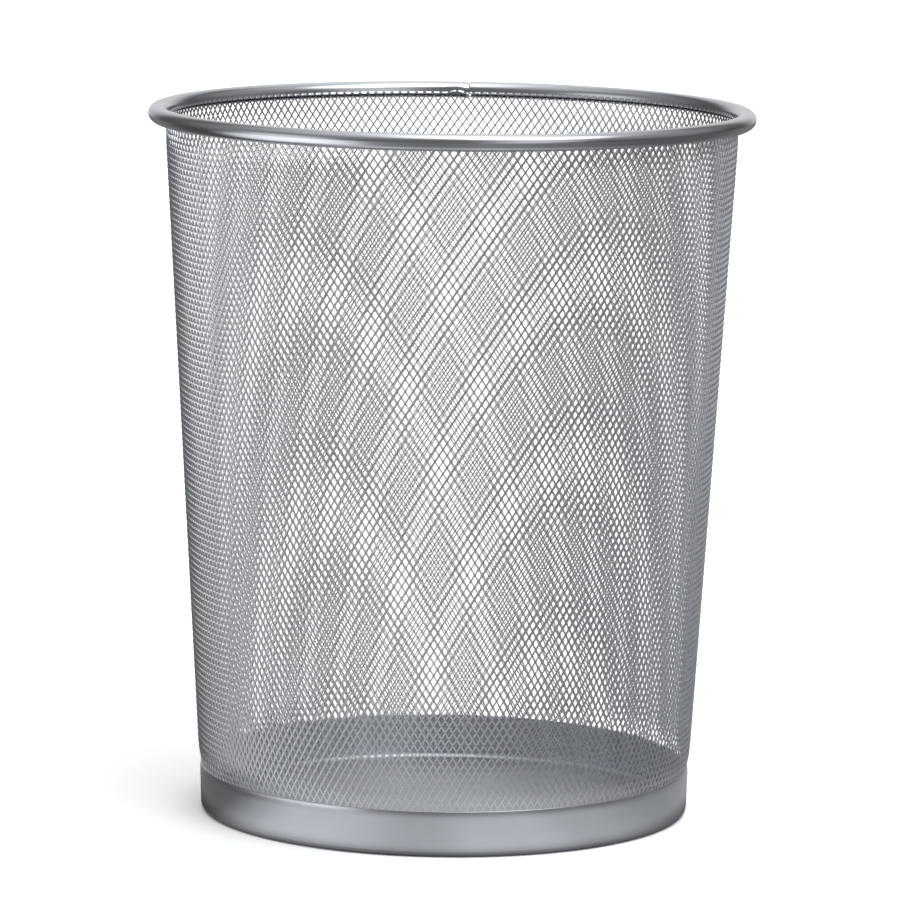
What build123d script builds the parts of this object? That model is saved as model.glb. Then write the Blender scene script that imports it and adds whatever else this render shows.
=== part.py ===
from build123d import *
import os
from math import acos, cos, degrees, pi, radians, sin

# A round steel-mesh wastebasket, open at the top, wider at the rim than at the base.
# Millimetres, +Z up. The origin is on the ground, at the centre of the underside.
# Each outline is drawn in the XZ plane, with X as the radius, and turned about Z.

# Overall size
RIM_OUTER_DIAMETER = 295.0
HEIGHT = 346.0

# Rim: one strip rolled into a bead, with a lip that hangs inside the wall
RIM_BEAD_DIAMETER = 8.1
RIM_STRIP = 0.5
RIM_CROWN_RADIUS = 4.35    # middle of the strip, from the lip up to the top of the bead
RIM_LIP_BOTTOM_DROP = 5.8  # from the top of the rim down to the lip's lower edge
RIM_LIP_RADIUS = 138.35    # middle of the lip's strip
RIM_CURL_END_ANGLE = 235   # the strip's hidden end, round the bead from its outermost point
RIM_JOINT_GAP = 0.5        # between the strip's two butted ends
RIM_JOINT_OFFSET = 8.7     # the joint stands this far to the right of the back's middle

# Wall: one cone of expanded mesh, given here by its outer face. It necks in to enter the base.
WALL_THICKNESS = 0.5
WALL_RADIUS_AT_NECK = 120.55
WALL_NECK_HEIGHT = 28.0
WALL_RADIUS_AT_RIM = 139.0
WALL_RIM_GAUGE_HEIGHT = 338.0
WALL_BOTTOM = 5.0
WALL_TOP = 342.0
WALL_SKIRT_CLEARANCE = 0.05

# Base: one pressed cup that holds the wall's lower edge inside its skirt
PAN_SHEET = 0.6
SKIRT_HEIGHT = 22.3
SKIRT_TOP_RADIUS = 120.0   # the skirt's last few millimetres are pressed in against the wall
SKIRT_BEND_HEIGHT = 19.6
SKIRT_BEND_RADIUS = 120.2  # outer radius where that bend starts
SKIRT_SLOPE = 0.035        # outward per unit of height, below the bend
SKIRT_BEND_ROUND = 30.0
PAN_CORNER_RADIUS = 3.0    # outer radius of the corner between skirt and foot ring
FOOT_RING_WIDTH = 1.8      # flat ring that stands on the ground
FLOOR_RISE = 1.0           # underside of the floor above the ground
FLOOR_STEP_RUN = 2.2       # radial length of the step between foot ring and floor
FLOOR_STEP_RADIUS = 0.8


def turned(outline, sweep=360.0):
    """Solid made by turning a closed outline about the vertical axis."""
    with BuildPart() as body:
        with BuildSketch(Plane.XZ):
            with BuildLine():
                outline()
            make_face()
        revolve(axis=Axis.Z, revolution_arc=sweep)
    return body.part


def wall_radius(height):
    """Outer radius of the wall's cone at a height above the neck."""
    rise = WALL_RIM_GAUGE_HEIGHT - WALL_NECK_HEIGHT
    slope = (WALL_RADIUS_AT_RIM - WALL_RADIUS_AT_NECK) / rise
    return WALL_RADIUS_AT_NECK + slope * (height - WALL_NECK_HEIGHT)


def skirt_radius(height):
    """Outer radius of the base's skirt at a height below its bend."""
    return SKIRT_BEND_RADIUS - SKIRT_SLOPE * (SKIRT_BEND_HEIGHT - height)


def wall_outline():
    """The wall's section: up inside the skirt, out over the neck, and up the cone."""
    inset = PAN_SHEET + WALL_SKIRT_CLEARANCE
    outer_face = [
        (skirt_radius(WALL_BOTTOM) - inset, WALL_BOTTOM),
        (SKIRT_BEND_RADIUS - inset, SKIRT_BEND_HEIGHT),
        (SKIRT_TOP_RADIUS - inset, SKIRT_HEIGHT),
        (WALL_RADIUS_AT_NECK, WALL_NECK_HEIGHT),
        (wall_radius(WALL_TOP), WALL_TOP),
    ]
    inner_face = [(radius - WALL_THICKNESS, height) for radius, height in outer_face]
    Polyline(*outer_face, *reversed(inner_face), close=True)


def pan_outline():
    """The base's section: floor, step, foot ring, corner and skirt, with the same sheet all round."""
    foot_outer = skirt_radius(0)
    foot_inner = foot_outer - PAN_CORNER_RADIUS - FOOT_RING_WIDTH
    floor_edge = foot_inner - FLOOR_STEP_RUN
    inner_corner = PAN_CORNER_RADIUS - PAN_SHEET
    step_outside = FLOOR_STEP_RADIUS + PAN_SHEET
    edge_round = PAN_SHEET * 0.45
    corners = [
        ((0, FLOOR_RISE), 0),
        ((floor_edge, FLOOR_RISE), step_outside),
        ((foot_inner, 0), FLOOR_STEP_RADIUS),
        ((foot_outer, 0), PAN_CORNER_RADIUS),
        ((SKIRT_BEND_RADIUS, SKIRT_BEND_HEIGHT), SKIRT_BEND_ROUND),
        ((SKIRT_TOP_RADIUS, SKIRT_HEIGHT), edge_round),
        ((SKIRT_TOP_RADIUS - PAN_SHEET, SKIRT_HEIGHT), edge_round),
        ((SKIRT_BEND_RADIUS - PAN_SHEET, SKIRT_BEND_HEIGHT), SKIRT_BEND_ROUND),
        ((foot_outer - PAN_SHEET, PAN_SHEET), inner_corner),
        ((foot_inner, PAN_SHEET), step_outside),
        ((floor_edge, FLOOR_RISE + PAN_SHEET), FLOOR_STEP_RADIUS),
        ((0, FLOOR_RISE + PAN_SHEET), 0),
    ]
    points = [point for point, _ in corners]
    radii = [radius for _, radius in corners]
    FilletPolyline(*points, radius=radii, close=True)


def rim_outline():
    """The rolled strip's section, drawn as its two faces, half a strip each side of the middle."""
    half = RIM_STRIP / 2
    bead_radius = RIM_BEAD_DIAMETER / 2 - half
    bead_r = RIM_OUTER_DIAMETER / 2 - RIM_BEAD_DIAMETER / 2
    bead_z = HEIGHT - RIM_BEAD_DIAMETER / 2
    top_z = HEIGHT - half
    crown_r = RIM_LIP_RADIUS + RIM_CROWN_RADIUS
    crown_z = top_z - RIM_CROWN_RADIUS
    lip_bottom = HEIGHT - RIM_LIP_BOTTOM_DROP
    end_angle = RIM_CURL_END_ANGLE

    def on_bead(offset, angle):
        reach = bead_radius + offset
        return (bead_r + reach * cos(radians(angle)), bead_z + reach * sin(radians(angle)))

    def face(offset):
        """One face of the strip, from the lip's lower edge round to the hidden end."""
        lip_r = RIM_LIP_RADIUS - offset
        crown = RIM_CROWN_RADIUS + offset
        crown_mid = (crown_r - crown * cos(pi / 4), crown_z + crown * sin(pi / 4))
        Line((lip_r, lip_bottom), (lip_r, crown_z))
        ThreePointArc((lip_r, crown_z), crown_mid, (crown_r, top_z + offset))
        Line((crown_r, top_z + offset), (bead_r, top_z + offset))
        ThreePointArc((bead_r, top_z + offset), on_bead(offset, 0), on_bead(offset, -90))
        middle = -90 - (270 - end_angle) / 2
        ThreePointArc(on_bead(offset, -90), on_bead(offset, middle), on_bead(offset, end_angle))

    face(half)
    face(-half)
    Line((RIM_LIP_RADIUS - half, lip_bottom), (RIM_LIP_RADIUS + half, lip_bottom))
    Line(on_bead(half, end_angle), on_bead(-half, end_angle))


def make_rim():
    """The rolled rim, a ring with a narrow gap where its two ends meet at the back."""
    joint_radius = RIM_OUTER_DIAMETER / 2 - RIM_BEAD_DIAMETER / 2
    gap_angle = degrees(RIM_JOINT_GAP / joint_radius)
    joint_angle = degrees(acos(RIM_JOINT_OFFSET / joint_radius))
    ring = turned(rim_outline, sweep=360.0 - gap_angle)
    return ring.rotate(Axis.Z, joint_angle + gap_angle / 2)


parts = {
    "rim_tube": make_rim(),
    "mesh_wall": turned(wall_outline),
    "base_pan": turned(pan_outline),
}

os.makedirs("parts", exist_ok=True)
for name, solid in parts.items():
    solid.label = name
    export_step(solid, f"parts/{name}.step")
    box = solid.bounding_box()
    print(name, round(solid.volume), [round(v, 2) for v in (*box.min, *box.max)])
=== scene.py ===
"""Looks for a round steel-mesh wastebasket: expanded mesh wall, rolled rim and pressed base."""

from math import ceil, cos, degrees, pi, radians, sin

import bpy
import numpy as np
from mathutils import Matrix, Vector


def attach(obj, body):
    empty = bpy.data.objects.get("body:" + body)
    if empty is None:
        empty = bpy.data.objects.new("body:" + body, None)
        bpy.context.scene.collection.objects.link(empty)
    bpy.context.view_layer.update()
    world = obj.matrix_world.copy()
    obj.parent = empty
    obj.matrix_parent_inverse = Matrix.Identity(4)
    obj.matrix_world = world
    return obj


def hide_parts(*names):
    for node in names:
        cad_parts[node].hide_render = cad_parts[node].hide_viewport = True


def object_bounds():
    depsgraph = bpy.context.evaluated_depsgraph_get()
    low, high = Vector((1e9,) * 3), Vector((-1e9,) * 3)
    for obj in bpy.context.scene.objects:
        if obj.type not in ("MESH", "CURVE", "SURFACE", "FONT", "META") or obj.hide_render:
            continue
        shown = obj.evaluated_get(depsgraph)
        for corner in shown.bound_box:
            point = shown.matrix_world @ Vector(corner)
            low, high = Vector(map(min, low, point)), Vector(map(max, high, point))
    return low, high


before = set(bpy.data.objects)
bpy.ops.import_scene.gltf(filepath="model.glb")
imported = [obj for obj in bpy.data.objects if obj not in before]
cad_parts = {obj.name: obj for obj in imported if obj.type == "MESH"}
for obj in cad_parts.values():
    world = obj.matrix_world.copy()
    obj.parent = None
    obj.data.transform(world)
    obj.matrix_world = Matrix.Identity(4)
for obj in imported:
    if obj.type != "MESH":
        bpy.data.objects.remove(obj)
cad_low, cad_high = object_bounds()

MM = 0.001

# Overall size, from the frame
HEIGHT = cad_high.z / MM
RIM_OUTER_RADIUS = (cad_high.x - cad_low.x) / 2 / MM

# Rim, in millimetres: one strip rolled into a bead, with a lip inside the wall
RIM_STRIP = 0.5
RIM_BEAD_RADIUS = 4.05
RIM_CROWN_RADIUS = 4.35
RIM_LIP_RADIUS = 138.35
RIM_LIP_BOTTOM = HEIGHT - 5.8
RIM_CURL_END_ANGLE = 235
RIM_JOINT_GAP = 0.5
RIM_JOINT_OFFSET = 8.7
STEPS_PER_DIAMOND = 8        # the rim's steps, and the lip's edge has one bulge for each diamond
LIP_BULGE_TOP = HEIGHT - 4.6
LIP_BULGE_DEPTH = 0.8
LIP_BULGE_SHARE = 0.65       # of each bulge that is not pinched in towards the mesh
LIP_ROWS = 4                 # points down each face of the lip, below the bulges' top
LIP_REACH = 1.0              # how far outside the lip's middle the points are shaped with it
LIP_PINCH_HEIGHT = 340.4     # the lip is pinched in above the bonds nearest to this height
LIP_WAVE_HEIGHT = 1.1        # the lip's edge is pulled up in a small wave beside the joint
LIP_WAVE_CENTRE = 6.5
LIP_WAVE_HALF_LENGTH = 6.5
JOINT_DIP_DEPTH = 0.45       # the strip's end sits a little low at the joint
JOINT_DIP_LENGTH = 5.0

# Wall: (height, outer radius) of its face, in millimetres
WALL_FACE = [(5.0, 119.04), (19.6, 119.55), (22.3, 119.35),
             (28.0, 120.55), (338.0, 139.0), (342.0, 139.238)]
WALL_THICKNESS = 0.5

# Expanded mesh of the wall
DIAMONDS_ROUND = 208
STRAND_LENGTH = 3.587        # from the middle of one bond to the middle of the next
STRAND_WIDTH = 0.64
BOND_HALF_WIDTH = 0.50
STRAND_TWIST = 0.36          # how far a diamond's right edge stands out from the sheet's middle
FLATTENED_TOP = 334.0        # above this and below the next the mesh is pressed flat to be gripped
FLATTENED_BOTTOM = 26.0
TWIST_FADE = 8.0
EDGE_ROUNDING = 0.35         # share of the side's direction in a strand's corner normals
SECTORS = 8                  # the mesh is cut into these only to keep each exported file small
SECTOR_UV_START, SECTOR_UV_SPAN = 0.02, 0.94

# The sheet's slight unevenness: how far its columns lie round the wall, in degrees of one diamond,
# at mid-height and how that changes per metre below it, evenly and from front to back
SHEET_TURN = 66
SHEET_LEAN = -162
SHEET_STRETCH = 48
SHEET_SKEW = 323
SHEET_MIDDLE = 180.0

# Base, in millimetres
PAN_SHEET = 0.6
PAN_STEPS = 720
PAN_EDGE_ROUNDING = 0.45     # of the sheet's thickness
FLOOR_RINGS = 12
SKIRT_HEIGHT = 22.3
SKIRT_TOP_RADIUS = 120.0
SKIRT_BEND_HEIGHT = 19.6
SKIRT_BEND_RADIUS = 120.2
SKIRT_SLOPE = 0.035
SKIRT_BEND_ROUND = 30.0
PAN_CORNER_RADIUS = 3.0
FOOT_RING_WIDTH = 1.8
FLOOR_RISE = 1.0
FLOOR_STEP_RUN = 2.2
FLOOR_STEP_RADIUS = 0.8

# How finely the sections' arcs are drawn
ARC_STEP = 9.0               # degrees between two points
HIDDEN_ARC_STEP = 30.0
EDGE_ARC_STEP = 45.0

# Paint: colour, roughness, and the weight of its clear coat
RIM_COLOUR, RIM_ROUGHNESS, RIM_COAT = (0.60, 0.62, 0.65), 0.20, 0.2
MESH_COLOUR, MESH_ROUGHNESS, MESH_COAT = (0.70, 0.71, 0.73), 0.34, 0.1
PAN_COLOUR, PAN_ROUGHNESS, PAN_COAT = (0.60, 0.62, 0.65), 0.16, 0.2
COAT_ROUGHNESS = 0.12
SHEET_DRIFT_SCALE = 60       # noise scales are in cells per metre
MESH_DRIFT_SCALE = 90
DRIFT_DETAIL = 3
DARK_DRIFT, LIGHT_DRIFT = 0.93, 1.05
ROUGHNESS_DRIFT = 0.03
FLAKE_SCALE, FLAKE_STRENGTH = 4500, 0.06
PEEL_SCALE, PEEL_STRENGTH, PEEL_DEPTH = 900, 0.15, 0.00004
SATIN_ROUGHNESS = 0.3        # added on the base's floor
SATIN_FADE = 2.0             # millimetres above the floor

# Camera: metres, degrees, and millimetres of lens
CAMERA_DISTANCE = 2.81
CAMERA_HEIGHT = 0.5966
CAMERA_PITCH = 8.483         # below level
CAMERA_ROLL = 0.749
CAMERA_YAW = -0.0197
CAMERA_LENS = 232.2
CAMERA_SENSOR = 36
CLIP_START, CLIP_END = 0.1, 50


# ---------------------------------------------------------------- meshes

def new_piece(name, points, faces, normals, uv=None):
    """A mesh object in the frame from points in millimetres; faces are lists of point numbers.

    There is one normal for each point, or one for each corner of each face.
    """
    mesh = bpy.data.meshes.new(name)
    sizes = np.array([len(face) for face in faces])
    corners = np.concatenate([np.asarray(face) for face in faces])
    starts = np.concatenate([[0], np.cumsum(sizes)[:-1]])
    mesh.vertices.add(len(points))
    mesh.vertices.foreach_set("co", (np.asarray(points) * MM).astype(np.float32).ravel())
    mesh.loops.add(len(corners))
    mesh.loops.foreach_set("vertex_index", corners.astype(np.int32))
    mesh.polygons.add(len(sizes))
    mesh.polygons.foreach_set("loop_start", starts.astype(np.int32))
    mesh.update(calc_edges=True)
    mesh.validate()
    mesh.shade_smooth()
    if uv is not None:
        layer = mesh.uv_layers.new(name="OFBake")
        layer.data.foreach_set("uv", np.asarray(uv, np.float32)[corners].ravel())
    normals = np.asarray(normals, np.float32)
    if len(normals) == len(points):
        normals = normals[corners]
    mesh.normals_split_custom_set(normals)
    piece = bpy.data.objects.new(name, mesh)
    bpy.context.scene.collection.objects.link(piece)
    return piece


def arc(centre, radius, start, end, step=ARC_STEP):
    """Section points on an arc, as (radius, height, and the two parts of the outward normal).

    Angles are in degrees, and the solid lies to the left of the way the points go.
    """
    count = max(2, ceil(abs(end - start) / step)) + 1
    side = 1 if end > start else -1
    points = []
    for a in np.radians(np.linspace(start, end, count)):
        points.append((centre[0] + radius * cos(a), centre[1] + radius * sin(a),
                       side * cos(a), side * sin(a)))
    return points


def rounded(corners):
    """Section points from (radius, height, rounding) corners, each rounding made as an arc."""
    outline = []
    for before, here, after in zip(corners, corners[1:], corners[2:]):
        here, rounding = np.array(here[:2]), here[2]
        back = unit(np.array(before[:2]) - here)
        ahead = unit(np.array(after[:2]) - here)
        half = np.arccos(np.clip(back @ ahead, -1, 1)) / 2
        centre = here + unit(back + ahead) * rounding / sin(half)
        first = here + back * rounding / np.tan(half) - centre
        last = here + ahead * rounding / np.tan(half) - centre
        start = degrees(np.arctan2(first[1], first[0]))
        turn = (degrees(np.arctan2(last[1], last[0])) - start + 180) % 360 - 180
        outline += arc(centre, rounding, start, start + turn)
    return outline


def unit(vectors):
    return vectors / np.maximum(np.linalg.norm(vectors, axis=-1, keepdims=True), 1e-12)


def smooth_step(share):
    share = np.clip(share, 0, 1)
    return share * share * (3 - 2 * share)


def grid_normals(points, rough):
    """Normals of a grid of points, [step, section point], on the side the rough ones show."""
    ahead = unit(np.roll(points, -1, axis=1) - points)
    along = ahead + np.roll(ahead, 1, axis=1)
    exact = unit(np.cross(np.gradient(points, axis=0), along))
    return exact * np.sign(np.sum(exact * rough, axis=-1, keepdims=True))


def turned(name, section, angles, full, on_axis=False, reshape=None):
    """A solid made by turning a section about the vertical axis, through the given angles.

    A full turn joins up with itself, and a part of one is closed by its two ends. A section that
    starts and ends on the axis has one point there instead of a ring.
    """
    section = np.array(section)
    poles = section[[0, -1]] if on_axis else section[:0]
    ring = section[1:-1] if on_axis else section
    steps, count = len(angles), len(ring)
    r = np.tile(ring[:, 0], (steps, 1))
    z = np.tile(ring[:, 1], (steps, 1))
    if reshape is not None:
        r, z = reshape(r, z, angles)
    c, s = np.cos(angles)[:, None], np.sin(angles)[:, None]
    up = np.tile(ring[:, 3], (steps, 1))
    points = np.stack([r * c, r * s, z], axis=-1)
    normals = np.stack([ring[:, 2] * c, ring[:, 2] * s, up], axis=-1)
    if reshape is not None:
        normals = grid_normals(points, normals)
    points, normals = points.reshape(-1, 3), normals.reshape(-1, 3)
    grid = np.arange(steps * count).reshape(steps, count)
    here, there = (grid, np.roll(grid, -1, axis=0)) if full else (grid[:-1], grid[1:])
    if on_axis:
        quads = [here[:, :-1], there[:, :-1], there[:, 1:], here[:, 1:]]
        faces = list(np.stack(quads, axis=-1).reshape(-1, 4))
        first, last = steps * count, steps * count + 1
        for k in range(steps):
            after = (k + 1) % steps
            faces.append(np.array([first, grid[after, 0], grid[k, 0]]))
            faces.append(np.array([last, grid[k, -1], grid[after, -1]]))
        points = np.concatenate([points, [(0, 0, pole[1]) for pole in poles]])
        normals = np.concatenate([normals, [(0, 0, pole[3]) for pole in poles]])
    else:
        quads = [here, there, np.roll(there, -1, axis=1), np.roll(here, -1, axis=1)]
        faces = list(np.stack(quads, axis=-1).reshape(-1, 4))
    if not full:
        faces += [grid[0], grid[-1][::-1]]
    return new_piece(name, points, faces, normals)


# ---------------------------------------------------------------- rim

def make_rim():
    """The rolled rim, an open ring with a narrow gap at its butt joint."""
    half = RIM_STRIP / 2
    bead = (RIM_OUTER_RADIUS - RIM_BEAD_RADIUS, HEIGHT - RIM_BEAD_RADIUS)
    crown = (RIM_LIP_RADIUS + RIM_CROWN_RADIUS, HEIGHT - half - RIM_CROWN_RADIUS)
    end = RIM_CURL_END_ANGLE - 360
    lip_edge = (RIM_LIP_RADIUS, RIM_LIP_BOTTOM + half)
    inside = RIM_BEAD_RADIUS - RIM_STRIP
    leaning = np.linspace(LIP_BULGE_TOP, lip_edge[1], LIP_ROWS)
    section = arc(lip_edge, half, -180, 0, EDGE_ARC_STEP)
    section += [(RIM_LIP_RADIUS + half, height, 1, 0) for height in leaning[-2:0:-1]]
    section += arc(crown, RIM_CROWN_RADIUS - half, 180, 90, HIDDEN_ARC_STEP)
    section += arc(bead, inside, 90, end, HIDDEN_ARC_STEP)
    section += arc(bead, RIM_BEAD_RADIUS, end, 90)
    section += arc(crown, RIM_CROWN_RADIUS + half, 90, 180)
    section += [(RIM_LIP_RADIUS - half, height, -1, 0) for height in leaning[1:-1]]
    joint_angle = np.arccos(RIM_JOINT_OFFSET / bead[0])
    gap = RIM_JOINT_GAP / bead[0]
    steps = DIAMONDS_ROUND * STEPS_PER_DIAMOND
    angles = joint_angle + gap / 2 + np.linspace(0, 2 * pi - gap, steps)
    pinched_row = np.argmin(np.abs(bond_heights() - LIP_PINCH_HEIGHT))

    def dress(r, z, angles):
        """The bulges of the lip's edge, its small wave, and the strip's low end at the joint."""
        on_lip = r < RIM_LIP_RADIUS + LIP_REACH
        from_pinch = (angles * DIAMONDS_ROUND / (2 * pi) - 0.5 * (pinched_row % 2)) % 1
        to_nearest_pinch = np.minimum(from_pinch, 1 - from_pinch)
        bulge = smooth_step(2 * to_nearest_pinch / (1 - LIP_BULGE_SHARE))[:, None]
        lean = np.clip((LIP_BULGE_TOP - z) / (LIP_BULGE_TOP - RIM_LIP_BOTTOM), 0, 1) * on_lip
        beside = ((angles - joint_angle) * bead[0])[:, None]
        wave = smooth_step(1 - np.abs(beside - LIP_WAVE_CENTRE) / LIP_WAVE_HALF_LENGTH)
        dip = smooth_step(1 - beside / JOINT_DIP_LENGTH)
        low = np.clip((HEIGHT - z) / (HEIGHT - RIM_LIP_BOTTOM), 0, 1) * on_lip
        r = r - bulge * lean * LIP_BULGE_DEPTH
        return r, z + wave * LIP_WAVE_HEIGHT * low - dip * JOINT_DIP_DEPTH

    return turned("rim_rolled", section, angles, False, reshape=dress)


# ---------------------------------------------------------------- wall

def wall_radius(height):
    """Radius of the middle of the wall's sheet."""
    heights, radii = zip(*WALL_FACE)
    return np.interp(height, heights, radii) - WALL_THICKNESS / 2


def bond_heights():
    """Heights of the rows of bonds.

    Every strand has one length, so the rows close up where the wall widens.
    """
    rows = [WALL_FACE[0][0]]
    while True:
        half_width = pi * wall_radius(rows[-1]) / DIAMONDS_ROUND
        rise = (STRAND_LENGTH**2 - half_width**2) ** 0.5
        if rows[-1] + rise > WALL_FACE[-1][0]:
            return np.array(rows)
        rows.append(rows[-1] + rise)


def lattice():
    """The mesh sheet: points of both faces, polygons of the outer one, and the points' place on it.

    Each diamond opening has six corners: right low, right high, top, left high, left low, bottom.
    The inner face has its points in the same order. The polygons come with their columns, and the
    place of each point is its angle round the wall and its height.
    """
    z_rows = bond_heights()
    rows, n = len(z_rows), DIAMONDS_ROUND
    step = 2 * pi / n
    r_rows = wall_radius(z_rows)
    half_width = pi * r_rows / n
    rise = np.diff(z_rows, append=2 * z_rows[-1] - z_rows[-2])
    drop = np.diff(z_rows, prepend=2 * z_rows[0] - z_rows[1])
    x_side = half_width - BOND_HALF_WIDTH
    inset_up = STRAND_WIDTH / 2 * np.hypot(half_width, rise) / (half_width * rise)
    inset_down = STRAND_WIDTH / 2 * np.hypot(half_width, drop) / (half_width * drop)
    side_up = rise * (1 - inset_up - x_side / half_width)
    side_down = drop * (1 - inset_down - x_side / half_width)
    side_down[0] = 0
    side_up[-1] = 0
    zero = np.zeros(rows)
    across = np.stack([x_side, x_side, zero, -x_side, -x_side, zero], axis=1)
    up = np.stack([-side_down, side_up, rise * (1 - inset_up),
                   side_up, -side_down, -drop * (1 - inset_down)], axis=1)
    z = z_rows[:, None] + up
    gripped = np.minimum((FLATTENED_TOP - z) / TWIST_FADE, (z - FLATTENED_BOTTOM) / TWIST_FADE)
    twist = STRAND_TWIST * np.clip(gripped, 0, 1) * np.array([1, 1, 0, -1, -1, 0])
    row_number = np.arange(rows)[:, None, None]
    column = np.arange(n)[None, :, None]
    angle = step * (column + 0.5 * (row_number % 2) + 0.5) + (across / r_rows[:, None])[:, None, :]
    z = np.broadcast_to(z[:, None, :], angle.shape)
    below = (SHEET_MIDDLE - z) * MM
    uneven = (SHEET_TURN + SHEET_LEAN * below
              + (SHEET_STRETCH + SHEET_SKEW * below) * np.sin(angle))
    angle = angle - np.radians(uneven) / n
    middle = wall_radius(z) + twist[:, None, :]

    def place(radius):
        return np.stack([radius * np.cos(angle), radius * np.sin(angle), z], axis=-1).reshape(-1, 3)

    outer, inner = place(middle + WALL_THICKNESS / 2), place(middle - WALL_THICKNESS / 2)

    def corner(row, col, which):
        return (row * n + col % n) * 6 + which

    right_low, right_high, top, left_high, left_low, bottom = range(6)
    i = np.arange(n)
    polygons = []
    for k in range(rows):
        odd = k % 2
        if k < rows - 1:
            right = i + odd
            left = right - 1
            leaning_right = [corner(k, i, right_high), corner(k + 1, right, bottom),
                             corner(k + 1, right, left_low), corner(k, i, top)]
            leaning_left = [corner(k, i, top), corner(k + 1, left, right_low),
                            corner(k + 1, left, bottom), corner(k, i, left_high)]
            polygons.append((i, np.stack(leaning_right, axis=1)))
            polygons.append((i, np.stack(leaning_left, axis=1)))
        over = i - 1 + odd
        bond = [corner(k, i - 1, right_low)]
        if k > 0:
            bond.append(corner(k - 1, over, top))
        bond += [corner(k, i, left_low), corner(k, i, left_high)]
        if k < rows - 1:
            bond.append(corner(k + 1, over, bottom))
        bond.append(corner(k, i - 1, right_high))
        polygons.append((i, np.stack(bond, axis=1)))
    return outer, inner, polygons, angle.reshape(-1), z.reshape(-1)


def open_edges(polygons, count):
    """Directed edges that only one polygon has, out of this count of points."""
    edges = np.concatenate([np.stack([p.ravel(), np.roll(p, -1, axis=1).ravel()], axis=1)
                            for p in polygons])
    forward = edges[:, 0].astype(np.int64) * count + edges[:, 1]
    backward = edges[:, 1].astype(np.int64) * count + edges[:, 0]
    return edges[~np.isin(forward, backward)]


def corner_normals(corners):
    """Normals at the corners of faces of one kind, on the outer face and on the inner one.

    Each leans from its own face towards the edge it is on, which rounds the strand. The array of
    corners is [face, corner, xyz], and a strand has four, with its first and last on one side.
    """
    following = np.roll(corners, -1, axis=1)
    spread = np.cross(corners - corners[:, :1], following - corners[:, :1]).sum(axis=1)
    flat = unit(spread)[:, None]
    if corners.shape[1] == 4:
        along = unit(corners[:, 2] + corners[:, 3] - corners[:, 0] - corners[:, 1])
        across = unit(np.cross(along, flat[:, 0]))
        facing = np.sign(np.sum(across * (corners[:, 0] - corners[:, 1]), axis=-1))
        towards = facing[:, None] * across
        side = towards[:, None] * np.array([1, -1, -1, 1])[None, :, None]
    else:
        side = unit(corners - corners.mean(axis=1, keepdims=True))
    return unit(flat + EDGE_ROUNDING * side), unit(-flat + EDGE_ROUNDING * side)


def make_wall():
    """The mesh wall, in sectors that meet at the ends of strands."""
    outer, inner, polygons, angle, z = lattice()
    lit = [corner_normals(outer[p]) for _, p in polygons]
    count = len(outer)
    points = np.concatenate([outer, inner])
    columns = DIAMONDS_ROUND // SECTORS
    uv = np.stack([angle / (2 * pi / SECTORS), z / HEIGHT], axis=1)
    pieces = []
    for s in range(SECTORS):
        own = [p[(col // columns) == s] for col, p in polygons]
        own_lit = [[side[(col // columns) == s] for side in both]
                   for (col, _), both in zip(polygons, lit)]
        first, last = open_edges(own, count).T
        sides = np.stack([last, first, first + count, last + count], axis=1)
        start = points[sides[:, 0]]
        sideways = unit(np.cross(points[sides[:, 1]] - start, points[sides[:, 3]] - start))
        faces = [face for p in own for face in p]
        faces += [face for p in own for face in (p[:, ::-1] + count)]
        faces += list(sides)
        normals = np.concatenate([outward.reshape(-1, 3) for outward, _ in own_lit]
                                 + [inward[:, ::-1].reshape(-1, 3) for _, inward in own_lit]
                                 + [np.repeat(sideways, 4, axis=0)])
        used, flat = np.unique(np.concatenate(faces), return_inverse=True)
        cuts = np.cumsum([len(face) for face in faces])[:-1]
        faces = np.split(flat, cuts)
        sector_uv = np.concatenate([uv, uv])[used] - [s, 0]
        sector_uv[:, 0] = SECTOR_UV_START + SECTOR_UV_SPAN * sector_uv[:, 0]
        pieces.append(new_piece(f"mesh_wall_{s + 1}", points[used], faces, normals, sector_uv))
    return pieces


# ---------------------------------------------------------------- base

def make_pan():
    """The pressed base: floor, step, foot ring, corner and skirt, one sheet all round."""
    foot_outer = SKIRT_BEND_RADIUS - SKIRT_SLOPE * SKIRT_BEND_HEIGHT
    foot_inner = foot_outer - PAN_CORNER_RADIUS - FOOT_RING_WIDTH
    floor_edge = foot_inner - FLOOR_STEP_RUN
    inner_corner = PAN_CORNER_RADIUS - PAN_SHEET
    step_outside = FLOOR_STEP_RADIUS + PAN_SHEET
    edge_round = PAN_SHEET * PAN_EDGE_ROUNDING
    floor_top = FLOOR_RISE + PAN_SHEET
    walls = rounded([
        (0, FLOOR_RISE, 0),
        (floor_edge, FLOOR_RISE, step_outside),
        (foot_inner, 0, FLOOR_STEP_RADIUS),
        (foot_outer, 0, PAN_CORNER_RADIUS),
        (SKIRT_BEND_RADIUS, SKIRT_BEND_HEIGHT, SKIRT_BEND_ROUND),
        (SKIRT_TOP_RADIUS, SKIRT_HEIGHT, edge_round),
        (SKIRT_TOP_RADIUS - PAN_SHEET, SKIRT_HEIGHT, edge_round),
        (SKIRT_BEND_RADIUS - PAN_SHEET, SKIRT_BEND_HEIGHT, SKIRT_BEND_ROUND),
        (foot_outer - PAN_SHEET, PAN_SHEET, inner_corner),
        (foot_inner, PAN_SHEET, step_outside),
        (floor_edge, floor_top, FLOOR_STEP_RADIUS),
        (0, floor_top, 0),
    ])
    radii = np.linspace(0, floor_edge - step_outside, FLOOR_RINGS)
    underside = [(radius, FLOOR_RISE, 0, -1) for radius in radii[:-1]]
    topside = [(radius, floor_top, 0, 1) for radius in radii[-2::-1]]
    angles = np.linspace(0, 2 * pi, PAN_STEPS, endpoint=False)
    return turned("base_pressed", underside + walls + topside, angles, True, on_axis=True)


# ---------------------------------------------------------------- materials

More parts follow.
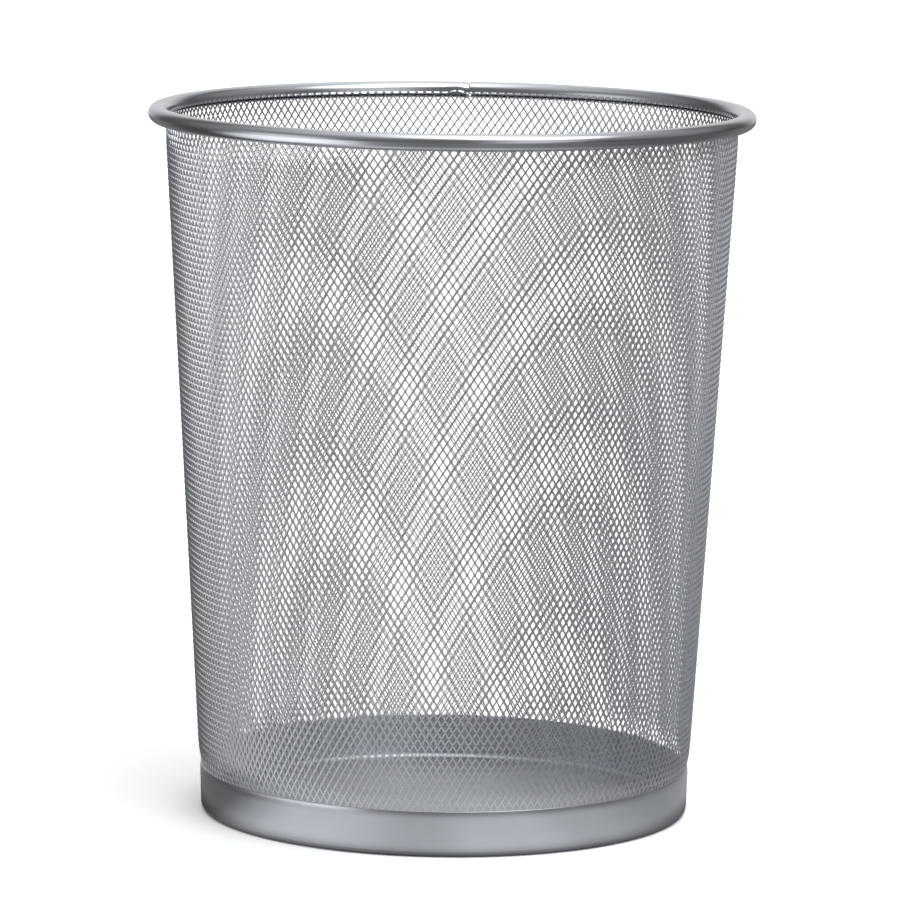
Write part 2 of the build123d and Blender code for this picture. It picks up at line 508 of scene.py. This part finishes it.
def node(tree, kind, **values):
    made = tree.nodes.new(kind)
    for key, value in values.items():
        setattr(made, key, value)
    return made


def silver_paint(name, colour, roughness, coat, drift_scale, satin_below=None):
    """Metallic silver paint: fine flake sparkle, a slow drift in colour, and a slight orange-peel.

    Below the height satin_below, in metres, it is less glossy, with a short fade above.
    """
    material = bpy.data.materials.new(name)
    material.use_nodes = True
    tree = material.node_tree
    shader = tree.nodes["Principled BSDF"]
    shader.inputs["Metallic"].default_value = 1.0
    shader.inputs["Coat Weight"].default_value = coat
    shader.inputs["Coat Roughness"].default_value = COAT_ROUGHNESS
    place = node(tree, "ShaderNodeTexCoord")

    drift = node(tree, "ShaderNodeTexNoise")
    drift.inputs["Scale"].default_value = drift_scale
    drift.inputs["Detail"].default_value = DRIFT_DETAIL
    tree.links.new(place.outputs["Object"], drift.inputs["Vector"])
    flake = node(tree, "ShaderNodeTexVoronoi")
    flake.inputs["Scale"].default_value = FLAKE_SCALE
    tree.links.new(place.outputs["Object"], flake.inputs["Vector"])

    blend = node(tree, "ShaderNodeMix", data_type="RGBA")
    blend.inputs["A"].default_value = (*[c * DARK_DRIFT for c in colour], 1)
    blend.inputs["B"].default_value = (*[c * LIGHT_DRIFT for c in colour], 1)
    tree.links.new(drift.outputs["Fac"], blend.inputs["Factor"])
    sparkle = node(tree, "ShaderNodeMix", data_type="RGBA", blend_type="OVERLAY")
    sparkle.inputs["Factor"].default_value = FLAKE_STRENGTH
    tree.links.new(blend.outputs["Result"], sparkle.inputs["A"])
    tree.links.new(flake.outputs["Color"], sparkle.inputs["B"])
    tree.links.new(sparkle.outputs["Result"], shader.inputs["Base Color"])

    grade = node(tree, "ShaderNodeMapRange")
    grade.inputs["To Min"].default_value = roughness - ROUGHNESS_DRIFT
    grade.inputs["To Max"].default_value = roughness + ROUGHNESS_DRIFT
    tree.links.new(drift.outputs["Fac"], grade.inputs["Value"])
    gloss = grade.outputs["Result"]
    if satin_below is not None:
        height = node(tree, "ShaderNodeSeparateXYZ")
        tree.links.new(place.outputs["Object"], height.inputs[0])
        satin = smooth_range(tree, height.outputs["Z"], satin_below, satin_below + SATIN_FADE * MM,
                             SATIN_ROUGHNESS, 0)
        gloss = total(tree, [gloss, satin])
    tree.links.new(gloss, shader.inputs["Roughness"])

    peel = node(tree, "ShaderNodeTexNoise")
    peel.inputs["Scale"].default_value = PEEL_SCALE
    tree.links.new(place.outputs["Object"], peel.inputs["Vector"])
    bump = node(tree, "ShaderNodeBump")
    bump.inputs["Strength"].default_value = PEEL_STRENGTH
    bump.inputs["Distance"].default_value = PEEL_DEPTH
    tree.links.new(peel.outputs["Fac"], bump.inputs["Height"])
    tree.links.new(bump.outputs["Normal"], shader.inputs["Normal"])
    return material


# ---------------------------------------------------------------- stage

def heading(azimuth, elevation):
    """Direction towards a light: azimuth 0 is the camera's side, 90 is +X."""
    a, e = radians(azimuth), radians(elevation)
    return (sin(a) * cos(e), -cos(a) * cos(e), sin(e))


def smooth_range(tree, value, low, high, to_low, to_high):
    fade = node(tree, "ShaderNodeMapRange", interpolation_type="SMOOTHSTEP")
    fade.inputs["From Min"].default_value = low
    fade.inputs["From Max"].default_value = high
    fade.inputs["To Min"].default_value = to_low
    fade.inputs["To Max"].default_value = to_high
    tree.links.new(value, fade.inputs["Value"])
    return fade.outputs["Result"]


def total(tree, values):
    result = values[0]
    for value in values[1:]:
        add = node(tree, "ShaderNodeMath", operation="ADD")
        tree.links.new(result, add.inputs[0])
        tree.links.new(value, add.inputs[1])
        result = add.outputs[0]
    return result


# Soft lights far from the object: (azimuth, elevation, inner angle, outer angle, strength)
SOFT_LIGHTS = [
    (0, 90, 10, 55, 0.5),       # ceiling
    (0, 72, 2, 22, 1.15),       # overhead softbox, its front half
    (180, 82, 2, 22, 1.0),      # its back half
    (177, 50, 4, 23, 0.75),     # its glow on the wall behind
    (48, 60, 4, 28, 2.4),       # softbox at the upper right
    (34, 22, 2, 24, 0.6),       # its glow on the wall below
    (26, 4, 0, 20, 0.3),
    (-66, 4, 0, 26, 0.75),      # glow at the left
    (-80, 42, 5, 55, 0.2),      # side walls
    (95, 45, 5, 50, 0.25),
    (180, 10, 8, 38, 0.65),     # backdrop
    (0, 5, 0, 70, 0.07),        # front of the room
]
ROOM = 0.11
LIGHT_COLOUR = (0.97, 0.985, 1, 1)
BACKDROP = 1.35              # about as bright as the camera sees the floor

# Painted light: a bright strip glowing on the floor, which only reflections see, in place of a
# light at the left; it leads away from the object to the left, in metres
STRIP_AZIMUTH = -63
STRIP_HALF_ANGLE = 36
STRIP_START, STRIP_FULL = 0.2, 0.5
STRIP_PAINTED_LIGHT = 1.4

# The floor, in metres, and the glow near the object that only reflections see, which is painted
# light; its darkening close to the object is painted shade
FLOOR_HALF_SIDE = 4.0
FLOOR_LIFT = -0.0001         # just below the foot ring
FLOOR_WHITE = 1.5
GLOW_COLOUR = (0.96, 0.98, 1, 1)
GLOW_START, GLOW_END = 0.12, 0.42
GLOW_NEAR, GLOW_FAR = 0.62, 0.22
GLOW_SHADE_REACH = 0.02

# Painted light and shade on the glow by direction, as a gain on it: (azimuth, half angle, gain);
# gains below zero are painted shade, those above painted light
PAINTED_LIGHT_AND_SHADE_BY_SIDE = [(-45, 35, 0.35), (-95, 50, -0.72), (95, 50, -0.35), (18, 22, 0.25)]


def make_world():
    """Soft studio lights all round, and a plain white backdrop for the camera."""
    world = bpy.data.worlds.new("studio")
    bpy.context.scene.world = world
    world.use_nodes = True
    tree = world.node_tree
    tree.nodes.clear()
    place = node(tree, "ShaderNodeTexCoord")
    glows = []
    for azimuth, elevation, inner, outer, strength in SOFT_LIGHTS:
        dot = node(tree, "ShaderNodeVectorMath", operation="DOT_PRODUCT")
        dot.inputs[1].default_value = heading(azimuth, elevation)
        tree.links.new(place.outputs["Generated"], dot.inputs[0])
        glows.append(smooth_range(tree, dot.outputs["Value"],
                                  cos(radians(outer)), cos(radians(inner)), 0, strength))
    room = node(tree, "ShaderNodeValue")
    room.outputs[0].default_value = ROOM
    light = node(tree, "ShaderNodeBackground")
    light.inputs["Color"].default_value = LIGHT_COLOUR
    tree.links.new(total(tree, [room.outputs[0], *glows]), light.inputs["Strength"])
    backdrop = node(tree, "ShaderNodeBackground")
    backdrop.inputs["Color"].default_value = (1, 1, 1, 1)
    backdrop.inputs["Strength"].default_value = BACKDROP
    path = node(tree, "ShaderNodeLightPath")
    mix = node(tree, "ShaderNodeMixShader")
    output = node(tree, "ShaderNodeOutputWorld")
    tree.links.new(path.outputs["Is Camera Ray"], mix.inputs["Fac"])
    tree.links.new(light.outputs[0], mix.inputs[1])
    tree.links.new(backdrop.outputs[0], mix.inputs[2])
    tree.links.new(mix.outputs[0], output.inputs["Surface"])


def make_floor():
    """A pale floor. The camera sees it lit by the studio; reflections see its glow instead, which
    is painted light with painted shade near the object.
    """
    mesh = bpy.data.meshes.new("floor")
    side, lift = FLOOR_HALF_SIDE, FLOOR_LIFT
    corners = [(-side, -side, lift), (side, -side, lift), (side, side, lift), (-side, side, lift)]
    mesh.from_pydata(corners, [], [(0, 1, 2, 3)])
    floor = bpy.data.objects.new("floor", mesh)
    bpy.context.scene.collection.objects.link(floor)
    material = bpy.data.materials.new("floor")
    material.use_nodes = True
    tree = material.node_tree
    tree.nodes.clear()
    seen = node(tree, "ShaderNodeBsdfDiffuse")
    seen.inputs["Color"].default_value = (FLOOR_WHITE, FLOOR_WHITE, FLOOR_WHITE, 1)
    place = node(tree, "ShaderNodeTexCoord")
    reach = node(tree, "ShaderNodeVectorMath", operation="LENGTH")
    tree.links.new(place.outputs["Object"], reach.inputs[0])
    # Painted light: the glow is brightest near the object and fades away from it
    near = smooth_range(tree, reach.outputs["Value"], GLOW_START, GLOW_END, GLOW_NEAR, GLOW_FAR)
    away = node(tree, "ShaderNodeVectorMath", operation="NORMALIZE")
    tree.links.new(place.outputs["Object"], away.inputs[0])
    # Painted light and shade by direction: gains on the glow, those below zero painted shade
    sides = [node(tree, "ShaderNodeValue").outputs[0]]
    sides[0].default_value = 1
    for azimuth, half_angle, gain in PAINTED_LIGHT_AND_SHADE_BY_SIDE:
        dot = node(tree, "ShaderNodeVectorMath", operation="DOT_PRODUCT")
        dot.inputs[1].default_value = heading(azimuth, 0)
        tree.links.new(away.outputs[0], dot.inputs[0])
        sides.append(smooth_range(tree, dot.outputs["Value"], cos(radians(half_angle)), 1, 0, gain))
    # Painted shade close to the object: the glow is darkened by its ambient occlusion, squared, a
    # painted contact shadow
    shade = node(tree, "ShaderNodeAmbientOcclusion")
    shade.inputs["Distance"].default_value = GLOW_SHADE_REACH
    product = near
    for factor in (total(tree, sides), shade.outputs["AO"], shade.outputs["AO"]):
        multiply = node(tree, "ShaderNodeMath", operation="MULTIPLY")
        tree.links.new(product, multiply.inputs[0])
        tree.links.new(factor, multiply.inputs[1])
        product = multiply.outputs[0]
    # Painted light: a bright strip on the floor, leading away from the object to the left
    along = node(tree, "ShaderNodeVectorMath", operation="DOT_PRODUCT")
    along.inputs[1].default_value = heading(STRIP_AZIMUTH, 0)
    tree.links.new(away.outputs[0], along.inputs[0])
    strip = node(tree, "ShaderNodeMath", operation="MULTIPLY")
    width = smooth_range(tree, along.outputs["Value"], cos(radians(STRIP_HALF_ANGLE)), 1, 0, 1)
    length = smooth_range(tree, reach.outputs["Value"], STRIP_START, STRIP_FULL,
                          0, STRIP_PAINTED_LIGHT)
    tree.links.new(width, strip.inputs[0])
    tree.links.new(length, strip.inputs[1])
    # The floor glows for reflections though it is no lamp: painted light
    glow = node(tree, "ShaderNodeEmission")
    glow.inputs["Color"].default_value = GLOW_COLOUR
    tree.links.new(total(tree, [product, strip.outputs[0]]), glow.inputs["Strength"])
    path = node(tree, "ShaderNodeLightPath")
    mix = node(tree, "ShaderNodeMixShader")
    output = node(tree, "ShaderNodeOutputMaterial")
    tree.links.new(path.outputs["Is Camera Ray"], mix.inputs["Fac"])
    tree.links.new(glow.outputs[0], mix.inputs[1])
    tree.links.new(seen.outputs[0], mix.inputs[2])
    tree.links.new(mix.outputs[0], output.inputs["Surface"])
    floor.data.materials.append(material)


def make_camera():
    """A long lens in front of the basket, higher than its rim and tilted down."""
    data = bpy.data.cameras.new("camera")
    data.lens = CAMERA_LENS
    data.sensor_width = CAMERA_SENSOR
    data.clip_start = CLIP_START
    data.clip_end = CLIP_END
    camera = bpy.data.objects.new("camera", data)
    bpy.context.scene.collection.objects.link(camera)
    turn = (Matrix.Rotation(radians(CAMERA_YAW), 4, "Z")
            @ Matrix.Rotation(radians(90 - CAMERA_PITCH), 4, "X")
            @ Matrix.Rotation(radians(CAMERA_ROLL), 4, "Z"))
    camera.matrix_world = Matrix.Translation((0, -CAMERA_DISTANCE, CAMERA_HEIGHT)) @ turn
    bpy.context.scene.camera = camera


# ---------------------------------------------------------------- assembly

rim_paint = silver_paint("rim_silver", RIM_COLOUR, RIM_ROUGHNESS, RIM_COAT, SHEET_DRIFT_SCALE)
mesh_paint = silver_paint("mesh_silver", MESH_COLOUR, MESH_ROUGHNESS, MESH_COAT, MESH_DRIFT_SCALE)
pan_paint = silver_paint("pan_silver", PAN_COLOUR, PAN_ROUGHNESS, PAN_COAT, SHEET_DRIFT_SCALE,
                         satin_below=(FLOOR_RISE + PAN_SHEET) * MM)

rim = make_rim()
pan = make_pan()
sectors = make_wall()

for pieces, cad_node, slot, paint in [([rim], "rim_tube", "rim_paint", rim_paint),
                                      ([pan], "base_pan", "pan_paint", pan_paint),
                                      (sectors, "mesh_wall", "mesh_paint", mesh_paint)]:
    for piece in pieces:
        piece.data.materials.append(paint)
        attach(piece, "root")
        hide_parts(cad_node)
    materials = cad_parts[cad_node].data.materials
    materials.clear()
    materials.append(paint)

make_world()
make_floor()
make_camera()
bpy.context.scene.view_settings.view_transform = "Standard"
